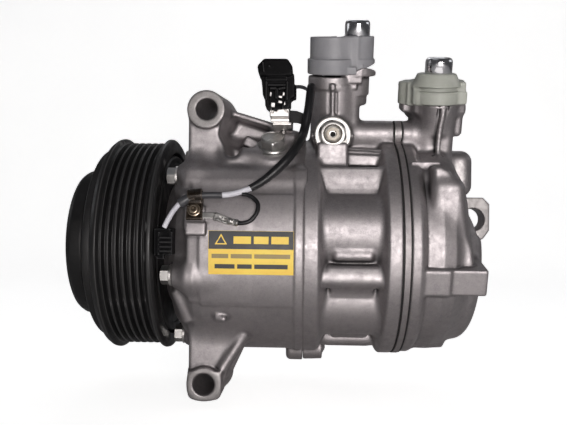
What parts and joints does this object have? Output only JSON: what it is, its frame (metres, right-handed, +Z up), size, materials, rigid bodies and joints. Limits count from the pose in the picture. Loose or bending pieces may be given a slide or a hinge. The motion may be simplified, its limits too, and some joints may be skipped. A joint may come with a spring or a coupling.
{
  "type": "automotive ac compressor",
  "caption": "Clutch-driven swash-plate air-conditioning compressor for a vehicle: ribbed belt pulley, cast aluminium barrel with side mounting bosses, capped ports on top.",
  "frame": {"origin": "drive shaft axis at the belt's centre plane", "axes": "+X along the shaft from the clutch towards the rear head, +Z up towards the two capped ports, -Y towards the label side"},
  "size_m": [0.225, 0.1195, 0.1976],
  "materials": {
    "cast_alu": "bead-blasted cast aluminium",
    "machined_alu": "machined aluminium",
    "steel": "ground steel",
    "zinc_steel": "zinc-plated steel",
    "black_steel": "satin black coating",
    "spring_steel": "phosphated spring steel",
    "chrome": "bright plating",
    "gasket": "rubber-coated metal",
    "rubber": "moulded rubber",
    "grey_cap": "moulded plastic",
    "white_cap": "natural moulded plastic",
    "black_plastic": "moulded plastic",
    "copper": "varnished copper winding",
    "label": "printed film",
    "brown_steel": "dark chromate",
    "white_sleeve": "woven sleeve"
  },
  "bodies": {
    "casing": {"front_housing": "cast_alu", "cylinder_block": "cast_alu", "rear_head": "cast_alu", "housing_o_ring": "rubber", "front_gasket": "gasket", "suction_reed_plate": "spring_steel", "valve_plate": "steel", "discharge_reed_plate": "spring_steel", "rear_gasket": "gasket", "through_bolts": "zinc_steel", "bolt_washers": "zinc_steel", "locating_dowels": "steel", "oil_plug": "zinc_steel", "oil_plug_washer": "machined_alu", "relief_valve": "zinc_steel", "relief_valve_washer": "machined_alu", "control_valve": "steel", "control_valve_circlip": "spring_steel", "left_port_cap": "grey_cap", "right_port_cap": "white_cap", "port_cap_screws": "chrome", "port_seals": "rubber", "shaft_seal": "rubber", "seal_circlip": "spring_steel", "front_needle_bearing": "steel", "rear_needle_bearing": "steel", "thrust_bearing": "steel", "field_coil_shell": "black_steel", "coil_winding": "copper", "coil_snap_ring": "spring_steel", "bearing_inner_ring": "steel", "cable_clamp": "brown_steel", "clamp_screw": "brown_steel", "coil_cable": "black_plastic", "cable_sleeves": "white_sleeve", "ground_lead": "black_plastic", "ground_terminal": "zinc_steel", "coil_connector": "black_plastic", "harness_connector": "black_plastic", "connector_bracket": "zinc_steel", "bracket_screw": "zinc_steel", "caution_label": "label"},
    "pulley_body": {"pulley": "black_steel", "bearing_outer_ring": "steel", "bearing_seals": "rubber"},
    "ball_set": {"bearing_balls": "steel"},
    "rotor": {"drive_shaft": "steel", "lug_plate": "steel", "clutch_hub": "steel", "hub_cover": "black_steel", "hub_bolt": "zinc_steel", "leaf_springs": "spring_steel"},
    "armature": {"armature_plate": "black_steel"},
    "swash": {"swash_plate": "steel", "shoes": "steel"},
    "piston_body_1": {"piston_1": "machined_alu"},
    "piston_body_2": {"piston_2": "machined_alu"},
    "piston_body_3": {"piston_3": "machined_alu"},
    "piston_body_4": {"piston_4": "machined_alu"},
    "piston_body_5": {"piston_5": "machined_alu"},
    "piston_body_6": {"piston_6": "machined_alu"}
  },
  "joints": [
    {"name": "pulley_spin", "type": "hinge", "parent": "casing", "child": "pulley_body", "pos_m": [0.002, 0, 0], "axis": [1, 0, 0], "continuous": true},
    {"name": "ball_orbit", "type": "hinge", "parent": "casing", "child": "ball_set", "pos_m": [0.002, 0, 0], "axis": [1, 0, 0], "continuous": true},
    {"name": "shaft_spin", "type": "hinge", "parent": "casing", "child": "rotor", "pos_m": [0.05, 0, 0], "axis": [1, 0, 0], "continuous": true},
    {"name": "armature_pull", "type": "slide", "parent": "rotor", "child": "armature", "axis": [1, 0, 0], "range_m": [0, 0.0005], "stiffness_N_per_m": 20000},
    {"name": "swash_tilt", "type": "hinge", "parent": "casing", "child": "swash", "pos_m": [0.062, 0, 0], "axis": [0, 1, 0], "range_deg": [0, 10]},
    {"name": "piston_1_stroke", "type": "slide", "parent": "casing", "child": "piston_body_1", "axis": [1, 0, 0], "range_m": [0, 0.00151]},
    {"name": "piston_2_stroke", "type": "slide", "parent": "casing", "child": "piston_body_2", "axis": [1, 0, 0], "range_m": [0, 0.00574]},
    {"name": "piston_3_stroke", "type": "slide", "parent": "casing", "child": "piston_body_3", "axis": [1, 0, 0], "range_m": [0, 0.00425]},
    {"name": "piston_4_stroke", "type": "slide", "parent": "casing", "child": "piston_body_4", "axis": [1, 0, 0], "range_m": [-0.00151, 0]},
    {"name": "piston_5_stroke", "type": "slide", "parent": "casing", "child": "piston_body_5", "axis": [1, 0, 0], "range_m": [-0.00574, 0]},
    {"name": "piston_6_stroke", "type": "slide", "parent": "casing", "child": "piston_body_6", "axis": [1, 0, 0], "range_m": [-0.00425, 0]}
  ],
  "couplings": [
    {"joint": "ball_orbit", "follows": "pulley_spin", "ratio": 0.55605},
    {"joint": "piston_1_stroke", "follows": "swash_tilt", "m_per_rad": 0.008513},
    {"joint": "piston_2_stroke", "follows": "swash_tilt", "m_per_rad": 0.032763},
    {"joint": "piston_3_stroke", "follows": "swash_tilt", "m_per_rad": 0.024251},
    {"joint": "piston_4_stroke", "follows": "swash_tilt", "m_per_rad": -0.008513},
    {"joint": "piston_5_stroke", "follows": "swash_tilt", "m_per_rad": -0.032763},
    {"joint": "piston_6_stroke", "follows": "swash_tilt", "m_per_rad": -0.024251}
  ]
}
